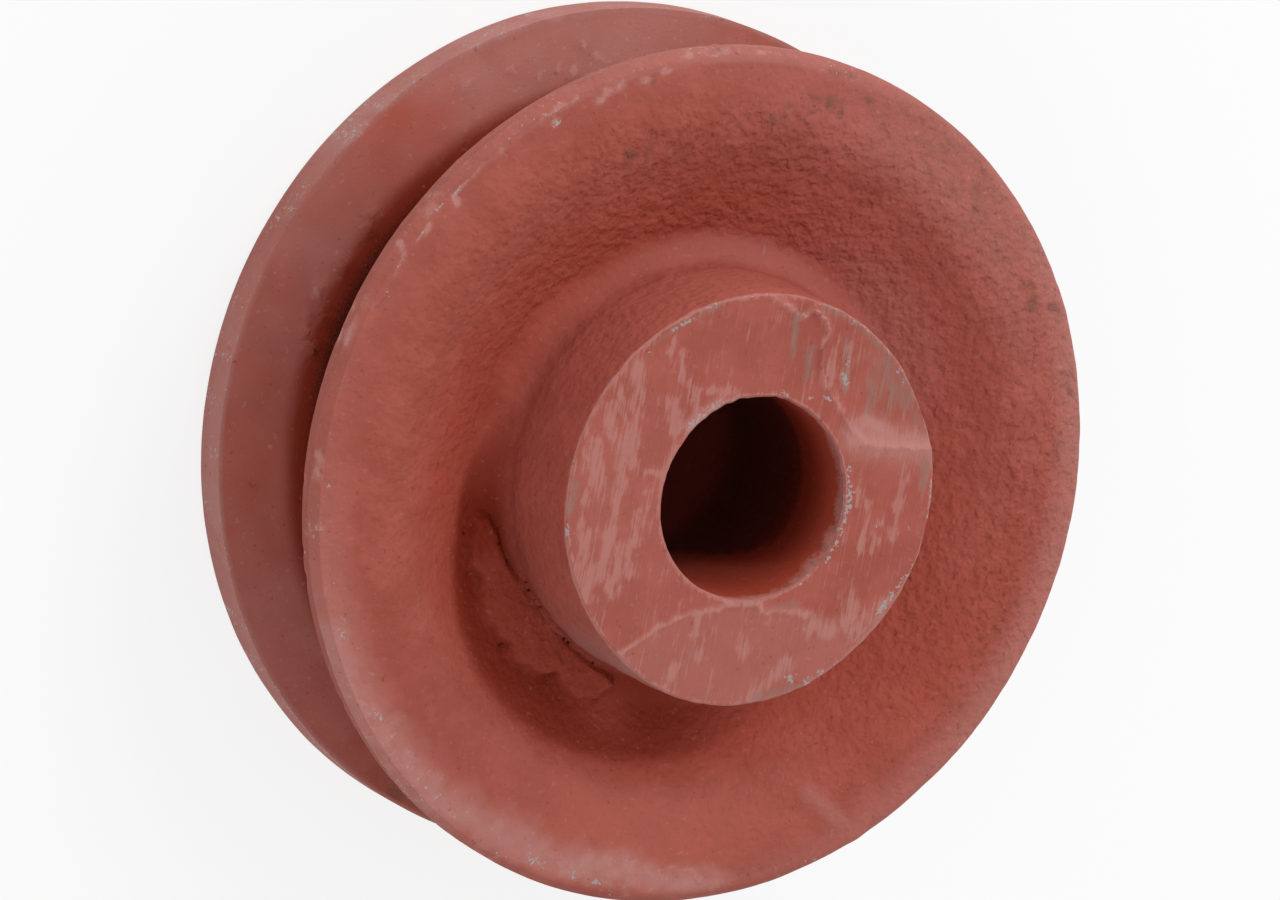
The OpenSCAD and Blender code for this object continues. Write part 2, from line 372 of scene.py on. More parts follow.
def groove_side(size, step):
    """Points of a flank from the rim to the groove's floor, and of half the floor, about the middle height.

    step is the distance between the points on the outer half of the flank.
    """
    half = size.groove_angle / 2
    floor_r = size.rim_r - size.groove_depth
    floor_half_w = size.groove_w / 2 - size.groove_depth * math.tan(half)
    centre = (
        floor_r + size.groove_round,
        floor_half_w - size.groove_round * (1 / math.cos(half) - math.tan(half)),
    )
    foot = (centre[0] - size.groove_round * math.sin(half), centre[1] + size.groove_round * math.cos(half))
    mouth = (size.rim_r, size.groove_w / 2)
    halfway = tuple((a + b) / 2 for a, b in zip(mouth, foot))
    flank = straight(mouth, halfway, step) + straight(halfway, foot, 2.0 * MM)
    floor = arc(centre, size.groove_round, math.pi / 2 + half, math.pi, 0.8 * MM)
    return flank, floor + straight((floor_r, centre[1]), (floor_r, 0), 1.4 * MM)


def half_section(size):
    """The closed half section as (radius, height, zone number) points."""
    front = flange_side(size, size.front_corner_r, size.hub_top_z - size.rim_w, 2.6)
    back = flange_side(size, size.back_corner_r, 0.0, 1.0)
    back_flank, floor = groove_side(size, 0.5 * MM)
    front_flank, _ = groove_side(size, 1.0 * MM)
    mouth_z = size.groove_w / 2

    def raised(points, height):
        return [(r, z + height) for r, z in points]

    def flipped(points):
        return [(r, -z) for r, z in reversed(points)]

    stretches = {
        "front_land": straight(
            (size.rim_r, size.groove_mid_z + mouth_z),
            (size.rim_r, size.rim_w - size.front_corner_r),
            0.3 * MM,
        ),
        "front_corner": raised(front["corner"], size.rim_w),
        "front_web": raised(front["web"], size.rim_w),
        "hub_side": raised(front["hub_side"], size.rim_w),
        "hub_face": raised(front["hub_face"], size.rim_w),
        "bore": straight(
            (size.bore_r, size.hub_top_z - size.broken_edge), (size.bore_r, size.broken_edge), 2.2 * MM
        ),
        "back_hub_face": flipped(back["hub_face"]),
        "back_hub_side": flipped(back["hub_side"]),
        "back_web": flipped(back["web"]),
        "back_corner": flipped(back["corner"]),
        "back_land": straight(
            (size.rim_r, size.back_corner_r), (size.rim_r, size.groove_mid_z - mouth_z), 0.45 * MM
        ),
        "back_flank": [(r, size.groove_mid_z - z) for r, z in back_flank],
        "groove_floor": (
            [(r, size.groove_mid_z - z) for r, z in floor]
            + [(r, size.groove_mid_z + z) for r, z in reversed(floor)]
        ),
        "front_flank": [(r, size.groove_mid_z + z) for r, z in reversed(front_flank)],
    }
    section = []
    for number, zone in enumerate(ZONES):
        for r, z in stretches[zone]:
            if not section or math.dist(section[-1][:2], (r, z)) > SAME_POINT:
                section.append((r, z, number))
    return section


def turn_section(section, steps):
    """A closed mesh object: the section drawn point by point in edit mode and turned round the bore."""
    first = section[0]
    bpy.ops.object.select_all(action="DESELECT")
    bpy.ops.mesh.primitive_plane_add(size=MM, location=(0, 0, 0))
    piece = bpy.context.object
    piece.name = "primed_casting"
    bpy.ops.object.mode_set(mode="EDIT")
    bpy.ops.mesh.select_all(action="SELECT")
    bpy.ops.mesh.merge(type="CENTER")
    bpy.ops.transform.translate(value=(first[0], 0, first[1]))
    for here, there in zip(section, section[1:] + [first]):
        step = (there[0] - here[0], 0, there[1] - here[1])
        bpy.ops.mesh.extrude_vertices_move(TRANSFORM_OT_translate={"value": step})
    bpy.ops.object.mode_set(mode="OBJECT")
    zone = piece.data.attributes.new("zone", "INT", "POINT")
    zone.data.foreach_set("value", [number for _, _, number in section] + [first[2]])
    turned = piece.modifiers.new("turned", "SCREW")
    turned.axis = "Z"
    turned.angle = 2 * math.pi
    turned.steps = steps
    turned.render_steps = steps
    turned.use_merge_vertices = True
    turned.merge_threshold = SAME_POINT
    bpy.ops.object.modifier_apply(modifier=turned.name)
    bpy.ops.object.mode_set(mode="EDIT")
    bpy.ops.mesh.select_all(action="SELECT")
    bpy.ops.mesh.remove_doubles(threshold=SAME_POINT)
    bpy.ops.mesh.normals_make_consistent(inside=False)
    bpy.ops.object.mode_set(mode="OBJECT")
    return piece


def smooth(value, low, high):
    """0 below low, 1 above high, and smooth between them."""
    share = np.clip((value - low) / (high - low), 0.0, 1.0)
    return share * share * (3.0 - 2.0 * share)


def over_front(turn, radius):
    """Place over the front of the casting, seen along the bore."""
    return np.array((math.cos(math.radians(turn)), math.sin(math.radians(turn)))) * radius


def from_line(here, start, end):
    """Distance of places from a straight line between two others."""
    leg = end - start
    share = np.clip((here - start) @ leg / (leg @ leg), 0.0, 1.0)
    return np.linalg.norm(here - start - share[:, None] * leg, axis=1)


class CastingSkin:
    """The turned casting's points in millimetres, with their zones and what is painted on them."""

    def __init__(self, piece):
        self.mesh = piece.data
        count = len(self.mesh.vertices)
        flat = np.empty(count * 3)
        self.mesh.vertices.foreach_get("co", flat)
        self.place = flat.reshape(-1, 3) / MM
        normals = np.empty(count * 3)
        self.mesh.vertex_normals.foreach_get("vector", normals)
        self.out = normals.reshape(-1, 3)
        self.zone = np.empty(count, dtype=np.int32)
        self.mesh.attributes["zone"].data.foreach_get("value", self.zone)
        self.rest = self.place.copy()
        self.over = self.rest[:, :2]
        self.height = self.rest[:, 2]
        self.radius = np.linalg.norm(self.over, axis=1)
        self.turn = np.degrees(np.arctan2(self.rest[:, 1], self.rest[:, 0])) % 360
        self.painted = {name: np.zeros(count) for name in PAINTS}

    def on(self, *zones):
        """1 on the points of those zones and 0 elsewhere."""
        return np.isin(self.zone, [ZONES.index(name) for name in zones]).astype(float)

    def turned_from(self, middle):
        """Degrees round the bore from a direction, up to 180 either way."""
        return (self.turn - middle + 180) % 360 - 180

    def facing(self, middle, spread):
        """1 in one direction from the bore, falling off over some degrees."""
        return np.exp(-((self.turned_from(middle) / spread) ** 2))

    def lobes(self, *parts):
        """Sum over several directions from the bore, each as (amount, middle, spread)."""
        return sum(amount * self.facing(middle, spread) for amount, middle, spread in parts)

    def beyond(self, low, high):
        """0 nearer the bore's axis than low, 1 farther than high, and smooth between them."""
        return smooth(self.radius, low, high)

    def within(self, low, high):
        """1 nearer the bore's axis than low, 0 farther than high, and smooth between them."""
        return 1.0 - smooth(self.radius, low, high)

    def lumps(self, size, shift=0.0):
        """Noise between about -1 and 1 with lumps of that size."""
        return np.array([noise.noise((x + shift, y, z)) for x, y, z in (self.rest / size).tolist()])

    def spot(self, turn, radius, size, stretch=1.0):
        """1 at a place over the front, falling off over its size, which is stretched round the bore."""
        across = (self.radius - radius) / size
        along = radius * np.radians(self.turned_from(turn)) / (size * stretch)
        return np.exp(-(across ** 2 + along ** 2))

    def spots(self, places, stretch=1.0):
        """The strongest of several spots."""
        return np.max([self.spot(*place, stretch) for place in places], axis=0)

    def wandering(self, unsteady, shift):
        """Places over the front, moved about by noise."""
        moves = np.stack((self.lumps(1.3, shift), self.lumps(1.3, shift + 10)), axis=1)
        return self.over + unsteady * moves

    def near(self, path, width, unsteady=0.0):
        """1 on a path over the front, falling off over its width. unsteady is how far it wanders."""
        corners = [over_front(*corner) for corner in path]
        here = self.wandering(unsteady, 200)
        away = [from_line(here, *leg) for leg in zip(corners, corners[1:])]
        return np.exp(-((np.min(away, axis=0) / width) ** 2))

    def past(self, path, heading):
        """How far a point lies past a path over the front, looking in one direction from the bore."""
        corners = [over_front(turn - heading, radius) for turn, radius in path]
        corners.sort(key=lambda corner: corner[1])
        ahead, aside = np.array(corners).T
        away = np.radians(self.turn - heading)
        return self.radius * np.cos(away) - np.interp(self.radius * np.sin(away), aside, ahead)

    def strokes(self, marks, unsteady=0.0):
        """1 on the middle of straight strokes over the front, falling off over their half widths."""
        here = self.wandering(unsteady, 220)
        strongest = np.zeros(len(here))
        for *ends, width in marks:
            away = from_line(here, *np.array(ends).reshape(2, 2))
            strongest = np.maximum(strongest, np.exp(-(away / width) ** 2 / 2))
        return strongest

    def streaks(self, marks, unsteady=0.0):
        """Strokes whose ends are given by direction and distance from the bore."""
        ends = [(*over_front(a, b), *over_front(c, d), width) for a, b, c, d, width in marks]
        return self.strokes(ends, unsteady)

    def push(self, amount):
        """Move the points out of the surface, or into it."""
        self.place += self.out * amount[:, None]

    def lift(self, amount):
        """Move the points along the bore."""
        self.place[:, 2] += amount

    def spread(self, amount):
        """Move the points away from the bore's axis."""
        self.place[:, :2] += self.over / self.radius[:, None] * amount[:, None]

    def paint(self, **amounts):
        """Paint by name, over what is there already."""
        for name, amount in amounts.items():
            self.painted[name] = np.clip(np.maximum(self.painted[name], amount), 0.0, 1.0)

    def store(self):
        """Put the points, none below the floor, and the paint on the mesh."""
        self.place[:, 2] = np.maximum(self.place[:, 2], 0.0)
        self.mesh.vertices.foreach_set("co", (self.place * MM).ravel())
        for name, amount in self.painted.items():
            layer = self.mesh.attributes.new(name, "FLOAT", "POINT")
            layer.data.foreach_set("value", amount)
        self.mesh.update()


def cast_skin(skin):
    """Waviness and sand grain of the cast surfaces, strongest on the upper right of the dish, with painted
    shade in the dish and a painted highlight on the hub's foot.
    """
    front = skin.on("front_web", "front_corner")
    back = skin.on("back_web", "back_hub_side")
    side = skin.on("hub_side")
    dish = skin.beyond(22.8, 25) * skin.within(34.5, 39.5)
    right_rim = skin.beyond(32, 35) * skin.facing(18, 46)
    grain = 0.27 + 0.2 * dish + 0.64 * dish * skin.facing(86, 56)
    grain = np.minimum(grain + 0.7 * right_rim + 0.28 * skin.facing(335, 35), 1)
    grain = front * grain + 0.5 * back + 0.45 * side
    # Painted shade in the dish's hollow by the hub's foot, less on the right, over a redder tone
    hollow = front * skin.beyond(20.4, 22) * skin.within(27, 33)
    skin.paint(
        grain=grain,
        fresh=hollow * (0.3 + 0.3 * skin.facing(245, 60)) + 0.2 * side,
        sheltered=hollow * (0.2 - 0.12 * skin.facing(25, 40)),
    )
    # Painted shade on the dish's top, whose slope faces away from the light
    skin.paint(sheltered=0.22 * front * dish * skin.facing(92, 40))
    # Painted shade and a redder tone on the dish's lower right
    lower_right = skin.beyond(25, 28) * skin.within(34, 38) * skin.facing(320, 28)
    skin.paint(fresh=0.3 * front * lower_right, sheltered=0.2 * front * lower_right)
    # Painted highlight on the hub's foot at the top, where it faces the light
    lit_end = 23.7 - 1.1 * smooth(skin.turn, 75, 130)
    lit_foot = skin.beyond(20.6, 21.4) * skin.within(lit_end - 0.8, lit_end + 0.8)
    skin.paint(film=0.3 * front * lit_foot * skin.facing(75, 50))
    skin.push((front + back + side) * 0.08 * skin.lumps(5))
    skin.push(grain * (0.05 + 0.14 * skin.within(39, 41.3)) * skin.lumps(1.25, 7))
    edges = skin.on("front_land", "front_corner", "back_land", "back_corner")
    skin.spread(edges * (0.05 * skin.lumps(9, 20) + 0.02 * skin.lumps(2.5, 30)))
    flange = skin.on(*FRONT) * skin.beyond(33, 41)
    skin.spread(-0.16 * flange * np.cos(np.radians(skin.turned_from(65))))
    back_flange = skin.on("back_land", "back_corner", "back_web") * skin.beyond(30, 42)
    skin.spread(0.35 * back_flange * skin.facing(112, 35))


def shape_rim(skin):
    """The front corner is bevelled on the left, and on the right the flange rolls off further."""
    rounder = 0.5 + 0.5 * np.cos(np.radians(skin.turned_from(12)))
    edge = skin.on(*FRONT) * smooth(skin.height, 24.05, 26)
    skin.lift(-0.85 * rounder * edge * skin.beyond(36, 43.5))
    shares, radii, heights = np.array(BEVEL).T
    share = np.arctan2(skin.height - heights[0], skin.radius - radii[-1]) / (np.pi / 2)
    bevelled = skin.on("front_corner") * (1 - smooth(rounder, 0.3, 0.7))
    skin.spread(bevelled * (np.interp(share, shares, radii) - skin.radius))
    skin.lift(bevelled * (np.interp(share, shares, heights) - skin.height))
    kinks = bevelled * np.any(np.abs(share[:, None] - shares[1:3]) < 0.08, axis=1)
    skin.paint(
        worn=kinks * (0.25 + 0.5 * skin.lumps(2.5, 35)),
        bare=kinks * (0.1 + 0.5 * skin.lumps(2, 36)),
    )


def grow_scab(skin):
    """Spare metal in the hollow at the hub's foot: a ragged leaf with pits along its inner edge."""
    inner_turns, inner_radii = np.array(SCAB_INNER).T
    outer_turns, outer_radii = np.array(SCAB_OUTER).T
    ragged = 0.25 * skin.lumps(1, 52)
    inner = np.interp(skin.turn, inner_turns, inner_radii, left=99, right=99)
    outer = np.interp(skin.turn, outer_turns, outer_radii, left=0, right=0) + ragged
    leaf = skin.beyond(inner - 0.5, inner + 0.5) * skin.within(outer - 0.6, outer + 0.4)
    leaf = leaf * smooth(skin.turn + skin.lumps(1.5, 58), 189.5, 192.5)
    low = skin.on("front_web", "hub_side") * (skin.height < DISH_TOP)
    level = SCAB_TOP + 0.25 * skin.lumps(2.2, 60)
    skin.lift(low * leaf * np.maximum(level - skin.height, 0))
    crease = low * skin.near(SCAB_INNER[2:-2], 0.2, 0.15)
    pits = low * skin.spots(SCAB_PITS)
    skin.push(-0.12 * crease - 0.3 * pits)
    # Painted deep shade in the pits and painted shade in the crease beside the leaf
    skin.paint(
        pit=pits,
        sheltered=0.6 * crease,
        grain=low * (0.42 + 0.23 * leaf) * skin.facing(225, 45),
    )
    # Painted shade in the hollow at the hub's foot, on the upper left
    skin.paint(sheltered=0.45 * low * skin.spot(163, 23.3, 1.8, 1.8))
    # Painted shadow of the hub in the trough on its lower left, lighter on the leaf
    turns, radii = np.array(TROUGH_EDGE).T
    reach = np.interp(skin.turn, turns, radii)
    trough = low * skin.within(reach - 1.5, reach + 0.8) * skin.beyond(20, 21.6)
    dark = smooth(skin.turn, 148, 192) * (1 - smooth(skin.turn, 263, 306))
    dark = dark * (1 - 0.32 * leaf * smooth(skin.turn, 196, 204))
    dark = dark * (0.88 + 0.12 * skin.facing(192, 26))
    skin.paint(sheltered=trough * dark * (1 - 0.6 * skin.spot(254, 25, 2, 1.6)))


def hub_top(skin):
    """1 on the hub's end and on the broken edges round it."""
    return (skin.height > HUB_END - 0.3).astype(float)


def grind_hub(skin):
    """The hub's end is ground by hand: two facets with a burr beside each, and strokes over it."""
    face = skin.on("hub_face")
    end = smooth(skin.height, 25.5, 31) * skin.on("hub_side", "hub_face")
    outline = 0.7 * skin.facing(268, 30) + 0.08 * skin.lumps(4, 70)
    skin.spread(end * skin.beyond(11, 20) * outline)
    top = hub_top(skin)
    broken = 0.5 + 0.5 * skin.lumps(1.6, 75)
    low = skin.past(LOW_RIDGE, 270)
    low_side = 1 - smooth(skin.over[:, 0], 3, 9)
    curl = skin.past(CURL_RIDGE, 50)
    curl_side = 1 - smooth(np.abs(skin.turned_from(52)), 38, 46)
    curl_step = (0.22 - 0.14 * skin.facing(16, 12)) * smooth(curl, -0.1, 0.4)
    skin.lift(-top * low_side * 0.055 * np.maximum(low, 0))
    skin.lift(-top * curl_side * (curl_step + 0.045 * np.maximum(curl, 0)))
    low_burr = face * skin.near(LOW_RIDGE, 0.3, 0.5) * (0.3 + broken)
    curl_burr = face * skin.near(CURL_RIDGE, 0.3, 0.4) * (0.35 + broken)
    lip = face * skin.near(CURL_RIDGE[3:8], 0.5, 0.3) * (0.5 + 0.7 * broken)
    skin.lift(top * (0.12 * low_burr + 0.2 * curl_burr + 0.3 * lip))
    skin.lift(-0.06 * face * np.abs(skin.lumps(2.5, 80)))
    pale = 0.08 + skin.strokes(PALE_STROKES, 0.5)
    grey_cloud = 0.75 * skin.spot(39, 17.6, 3.2, 1.4)
    # Burrs are rubbed pale, with a painted highlight where they catch light; creases get painted shade
    skin.paint(
        ground=skin.on("hub_face", "back_hub_face"),
        worn=face * np.max([pale, 1.1 * low_burr, 0.8 * curl_burr], axis=0),
        scuffed=face * np.maximum(skin.strokes(GREY_STROKES, 0.4), grey_cloud),
        film=face * np.maximum(0.9 * low_burr, 0.7 * curl_burr),
        sheltered=0.7 * face * skin.strokes(DARK_STROKES, 0.15),
        bare=0.75 * top * skin.strokes(BARE_STROKES, 0.3),
    )
    skin.paint(film=face * (0.25 * smooth(low, 0, 0.6) + 0.14 * skin.facing(185, 45)))
    skin.paint(film=0.9 * face * skin.strokes(PALE_BAND, 0.5))


def wear_hub(skin):
    """The hub's edges are chipped and grey and the bore's edge is uneven. The bore is painted with shade
    inside, starting deeper at the bottom, where light falls in, and lighter towards the far end.
    """
    top = hub_top(skin)
    width = 0.15 + 0.25 * skin.lumps(1.5, 85) + 0.2 * skin.facing(300, 25)
    rim = top * skin.beyond(19.75 - width, 20.05 - width)
    grey_edge = top * skin.beyond(18.6, 20) * skin.lobes((1, 20, 62), (0.7, 300, 40))
    skin.paint(
        bare=rim * (0.22 + skin.lobes((0.24, 55, 35), (0.2, 300, 25))),
        worn=0.9 * rim,
        scuffed=0.55 * grey_edge,
    )
    chipped = top * skin.strokes(CHIPPED_BORE, 0.25)
    skin.paint(film=chipped, bare=0.62 * chipped)
    mouth = top * skin.within(10.25, 10.7)
    skin.paint(bare=mouth * (0.2 + skin.lobes((0.25, 335, 40), (0.2, 120, 30))), worn=mouth)
    ragged = (0.05 + 0.11 * skin.facing(75, 60)) * skin.lumps(0.8, 90)
    skin.spread(mouth * (ragged + skin.lobes((0.45, 322, 38), (-0.3, 158, 45))))
    bore = skin.on("bore")
    depth = HUB_END - skin.height
    shade_start = 6.5 + 11.5 * skin.facing(278, 24)
    bore_shade = smooth(depth, shade_start - 4.8, shade_start + 0.7)
    far_end = smooth(depth, 20, 29)
    # Painted shade and deep shade in the bore, over a redder tone
    skin.paint(
        fresh=bore,
        sheltered=bore * (0.3 + 0.7 * bore_shade * (1 - 0.5 * far_end)),
        pit=0.6 * bore * smooth(depth, shade_start - 1, shade_start + 3) * (1 - 0.6 * far_end),
    )
    side = skin.on("hub_side")
    lower_left = side * skin.facing(236, 15) * smooth(skin.height, 22.5, 25)
    skin.paint(film=side * (0.06 + skin.lobes((0.1, 95, 30), (0.2, 228, 22))))
    skin.paint(film=0.7 * lower_left, scuffed=0.75 * lower_left)


def chip_edges(skin):
    """Knocks along the rim: small dents, with the primer rubbed or gone."""
    front = skin.on(*FRONT)
    pale = front * skin.streaks(RIM_PALE, 0.4) * (0.65 + 0.7 * skin.lumps(0.9, 105))
    grey = front * skin.streaks(RIM_GREY, 0.25)
    bared = front * skin.streaks(RIM_BARE, 0.15)
    skin.push(-0.08 * pale - 0.12 * grey - 0.1 * bared)
    skin.paint(
        worn=1.1 * pale,
        film=0.85 * pale,
        stain=0.6 * grey,
        bare=np.maximum(0.75 * bared, 0.36 * np.maximum(pale, grey)),
    )
    front_land = skin.on("front_land", "front_corner")
    back_land = skin.on("back_land", "back_corner")
    # The front land is dusty, lighter at the top as painted light, with painted shade on its left
    skin.paint(
        film=0.3 * front_land * (0.5 + 1.1 * skin.facing(85, 45)),
        sheltered=0.2 * skin.on("front_land") * skin.facing(205, 45),
        worn=(front_land + back_land) * (0.2 + 0.3 * skin.lumps(5, 110)),
        bare=(0.75 * front_land + back_land) * (0.27 + 0.3 * skin.lumps(3, 120)),
    )
    skin.paint(film=back_land * (0.85 + skin.lobes((0.15, 187, 25), (-0.35, 153, 10))))
    for turn, spread, amount in BACK_LAND_CHIPS:
        chip = back_land * skin.facing(turn, spread)
        skin.paint(bare=amount * chip, worn=chip)


def weather_groove(skin):
    """The groove is painted with shade inside. Its back flank is dusty near the rim and roughly cast
    further in.
    """
    inside = skin.on("back_flank", "groove_floor", "front_flank")
    shade = GROOVE_SHADE + skin.lobes((-0.4, 122, 20), (-0.3, 185, 18))
    # Painted shade inside the groove, from where it falls into shade, and deeper painted shade further in
    skin.paint(
        sheltered=inside * skin.within(shade - 1.1, shade + 0.9),
        pit=0.75 * inside * skin.within(shade - 2.4, shade - 0.2),
        film=0.3 * skin.on("front_flank") * skin.beyond(36, 40),
    )
    back = skin.on("back_flank")
    flank = back * skin.beyond(35.5, 37.5)
    skin.paint(
        film=flank * (0.18 + skin.lobes(*FLANK_CLOUDS) + 0.2 * skin.lumps(3.5, 150)),
        fresh=flank * skin.lobes((0.5, 127, 11), (0.3, 185, 14)),
        stain=flank * (0.6 * skin.facing(242, 10) + 0.4 * skin.spot(152, 39.6, 1.4, 3)),
    )
    # Rough cast pits on the flank, with painted deep shade in them
    rough = back * skin.spots(FLANK_PITS, 1.3)
    skin.push(0.5 * rough * skin.lumps(1, 130))
    skin.paint(pit=rough * (0.25 + 0.5 * skin.lumps(1, 135)), grain=rough)
    # The pale marks are dimmed where the groove falls into shade: painted shade on them
    lit = 0.35 + 0.65 * skin.beyond(shade, shade + 1.5)
    pale = back * skin.streaks(FLANK_PALE, 0.45) * (0.6 + 0.8 * skin.lumps(0.9, 140))
    skin.push(0.12 * pale)
    skin.paint(worn=1.15 * lit * pale, film=0.8 * lit * pale, bare=0.2 * lit * pale)
    # Painted deep shade in dark cracks and spots on the flank
    skin.paint(pit=0.45 * back * skin.streaks(FLANK_DARK, 0.4))


def rub_and_stain(skin):
    """Handling marks: dust and rubbed primer at the rim, stains at the upper right and a run of primer.
    Painted shade at the upper right, lower right and bottom edge, and painted light on the lower face and
    hub's foot.
    """
    front = skin.on("front_web", "front_corner")
    blots = skin.spots(FACE_STAINS, 2.2) * (0.7 + 0.8 * skin.lumps(1.2, 160))
    upper_right = skin.beyond(32, 37) * skin.facing(48, 32)
    right = skin.beyond(34, 38) * skin.facing(4, 26)
    # Grey-brown stains and dust at the upper right, with painted shade there and on the lower right
    skin.paint(
        stain=front * np.max([0.8 * blots, 0.5 * upper_right, 0.38 * right], axis=0),
        film=0.38 * front * upper_right,
        sheltered=front * (0.12 * upper_right + 0.14 * skin.spot(342, 36.5, 4.5, 2.6)),
    )
    # Painted shade on the front rim's bottom edge, laid in both the shade colour and the stain colour
    lower_lip = skin.beyond(40.8, 42) * skin.facing(268, 26)
    skin.paint(
        stain=0.3 * skin.on("front_corner", "front_land") * skin.facing(268, 30),
        sheltered=0.3 * skin.on(*FRONT) * lower_lip,
    )
    rubbed = front * skin.near(RUBBED_RIM, 2.3, 1) * (1 - 0.75 * lower_lip)
    skin.paint(
        film=0.95 * rubbed,
        worn=0.72 * rubbed * skin.lobes((1, 258, 13), (0.8, 220, 16)),
        bare=0.3 * rubbed,
    )
    pale_tint = 0.1 + skin.lobes((0.42, 30, 46), (0.55, 212, 28), (0.35, 330, 40))
    skin.paint(film=front * skin.beyond(37, 41.5) * pale_tint)
    # Painted light on the dish's lower face, which faces up to the light: lighter and redder
    lower_face = front * skin.beyond(30, 33) * skin.within(38, 41) * skin.facing(262, 26)
    skin.paint(film=0.22 * lower_face, fresh=0.4 * lower_face)
    run = front * skin.near(PRIMER_RUN, 0.9)
    skin.push(0.12 * run)
    skin.paint(film=0.45 * run)
    # Painted highlight by the hub's foot at the upper right
    skin.paint(film=0.4 * front * skin.spot(34, 25, 4, 3))
    scratch = front * skin.near(RIM_SCRATCH, 0.35, 0.3)
    skin.paint(worn=0.8 * scratch, film=0.7 * scratch)


class ShaderValue:
    """A socket that can stand in Python sums: each operation adds a Math node."""

    def __init__(self, graph, socket):
        self.graph = graph
        self.socket = socket

    def math(self, operation, *others, clamp=False):
        return self.graph.add(
            "ShaderNodeMath", dict(enumerate((self, *others))), operation=operation, use_clamp=clamp
        )

    def __add__(self, other):
        return self.math("ADD", other)

    __radd__ = __add__

    def __mul__(self, other):
        return self.math("MULTIPLY", other)

    __rmul__ = __mul__

    def __sub__(self, other):
        return self.math("SUBTRACT", other)

    def __rsub__(self, other):
        return (self * -1.0) + other

    def between(self, low, high):
        """0 below low, 1 above high, and smooth between them."""
        return self.graph.add(
            "ShaderNodeMapRange", {0: self, 1: low, 2: high}, interpolation_type="SMOOTHSTEP"
        )

    def clamped(self):
        return self.math("ADD", 0.0, clamp=True)


class ShaderGraph:
    """Adds nodes to one material."""

    def __init__(self, name):
        self.material = bpy.data.materials.new(name)
        self.material.use_nodes = True
        self.tree = self.material.node_tree
        self.tree.nodes.clear()

    def add(self, kind, inputs=None, output=0, **settings):
        """One node, with its settings and its sockets' values or links. Gives one of its outputs."""
        node = self.tree.nodes.new(kind)
        for key, value in settings.items():
            setattr(node, key, value)
        for key, value in (inputs or {}).items():
            if isinstance(value, ShaderValue):
                self.tree.links.new(value.socket, node.inputs[key])
            else:
                node.inputs[key].default_value = value
        return ShaderValue(self, node.outputs[output])

    def painted(self, name):
        """A value painted on the mesh's points."""
        return self.add("ShaderNodeAttribute", output="Fac", attribute_name=name)

    def speckle(self, place, size, detail=2.0, rough=0.5):
        """Noise of about that feature size."""
        inputs = {"Vector": place, "Scale": 1 / size, "Detail": detail, "Roughness": rough}
        return self.add("ShaderNodeTexNoise", inputs)

    def along_strokes(self, place, turn, stretch):
        """Coordinates that draw a pattern out along the grinding strokes."""
        inputs = {"Vector": place, "Rotation": (0, 0, turn), "Scale": (1, stretch, 1)}
        return self.add("ShaderNodeMapping", inputs, vector_type="TEXTURE")

    def blend(self, amount, low, high):
        """A colour between two colours."""
        pair = [c if isinstance(c, ShaderValue) else (*c, 1.0) for c in (low, high)]
        return self.add(
            "ShaderNodeMix", {0: amount, 6: pair[0], 7: pair[1]}, output=2, data_type="RGBA"
        )

    def finish(self, surface):
        """The material, with that surface."""
        node = self.tree.nodes.new("ShaderNodeOutputMaterial")
        self.tree.links.new(surface.socket, node.inputs["Surface"])
        return self.material


